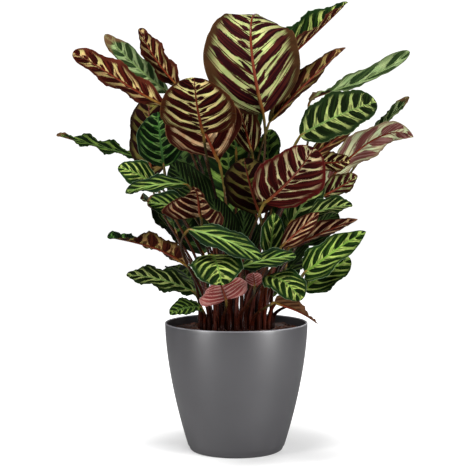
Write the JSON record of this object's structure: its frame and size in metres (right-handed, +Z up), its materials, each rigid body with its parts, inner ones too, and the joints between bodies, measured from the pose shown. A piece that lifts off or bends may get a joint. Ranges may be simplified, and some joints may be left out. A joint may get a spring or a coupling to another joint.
{
  "type": "potted calathea",
  "caption": "Peacock-patterned calathea with broad wavy leaves on thin stalks, rising from bark soil in a plain round tapered pot.",
  "frame": {"origin": "centre of the pot's flat foot, on the surface it stands on", "axes": "+Z up along the pot's axis, -Y towards the viewer of the picture, +X to the viewer's right"},
  "size_m": [0.5504, 0.4121, 0.6874],
  "materials": {
    "pot_plastic": "satin",
    "bark_soil": "matte",
    "leaf_green": "satin"
  },
  "bodies": {
    "root": {"pot": "pot_plastic", "soil": "bark_soil", "leaf_crown": "leaf_green", "leaf_front_left": "leaf_green", "leaf_behind_left": "leaf_green", "leaf_right_front": "leaf_green", "leaf_behind_right": "leaf_green", "leaf_top_right": "leaf_green", "leaf_fold_right": "leaf_green", "leaf_curl_right": "leaf_green", "leaf_broad_right": "leaf_green", "leaf_thin_right": "leaf_green", "leaf_dusk_right": "leaf_green", "leaf_narrow_right": "leaf_green", "leaf_small_right": "leaf_green", "leaf_split_right": "leaf_green", "leaf_low_pale_right": "leaf_green", "leaf_pale_behind": "leaf_green", "leaf_dark_right": "leaf_green", "leaf_fold_low_right": "leaf_green", "leaf_beak_right": "leaf_green", "leaf_bright_right": "leaf_green", "leaf_bright_low": "leaf_green", "leaf_front_low_right": "leaf_green", "leaf_dry_right": "leaf_green", "leaf_front_mid_right": "leaf_green", "leaf_front_bright": "leaf_green", "leaf_front_drooping": "leaf_green", "leaf_pink_left": "leaf_green", "leaf_pink_small": "leaf_green", "leaf_low_left": "leaf_green", "leaf_mid_left": "leaf_green", "leaf_small_low_left": "leaf_green", "leaf_far_left": "leaf_green", "leaf_high_left": "leaf_green", "leaf_grey_left": "leaf_green", "leaf_top_left": "leaf_green", "leaf_dark_left": "leaf_green", "leaf_emerald": "leaf_green", "leaf_green_left_a": "leaf_green", "leaf_green_left_b": "leaf_green", "leaf_green_left_c": "leaf_green", "leaf_saddle": "leaf_green", "leaf_striped_mid": "leaf_green", "leaf_hanging_mid": "leaf_green", "leaf_fill_left": "leaf_green", "leaf_fill_left_low": "leaf_green", "leaf_fill_centre": "leaf_green", "leaf_fill_right": "leaf_green", "leaf_back_top": "leaf_green", "leaf_back_right_top": "leaf_green", "leaf_back_left_top": "leaf_green", "leaf_back_mid": "leaf_green", "leaf_back_mid_right": "leaf_green", "leaf_back_mid_left": "leaf_green", "leaf_side_right": "leaf_green", "leaf_side_left": "leaf_green", "leaf_back_low": "leaf_green", "leaf_back_low_right": "leaf_green", "leaf_back_low_left": "leaf_green"}
  },
  "joints": []
}
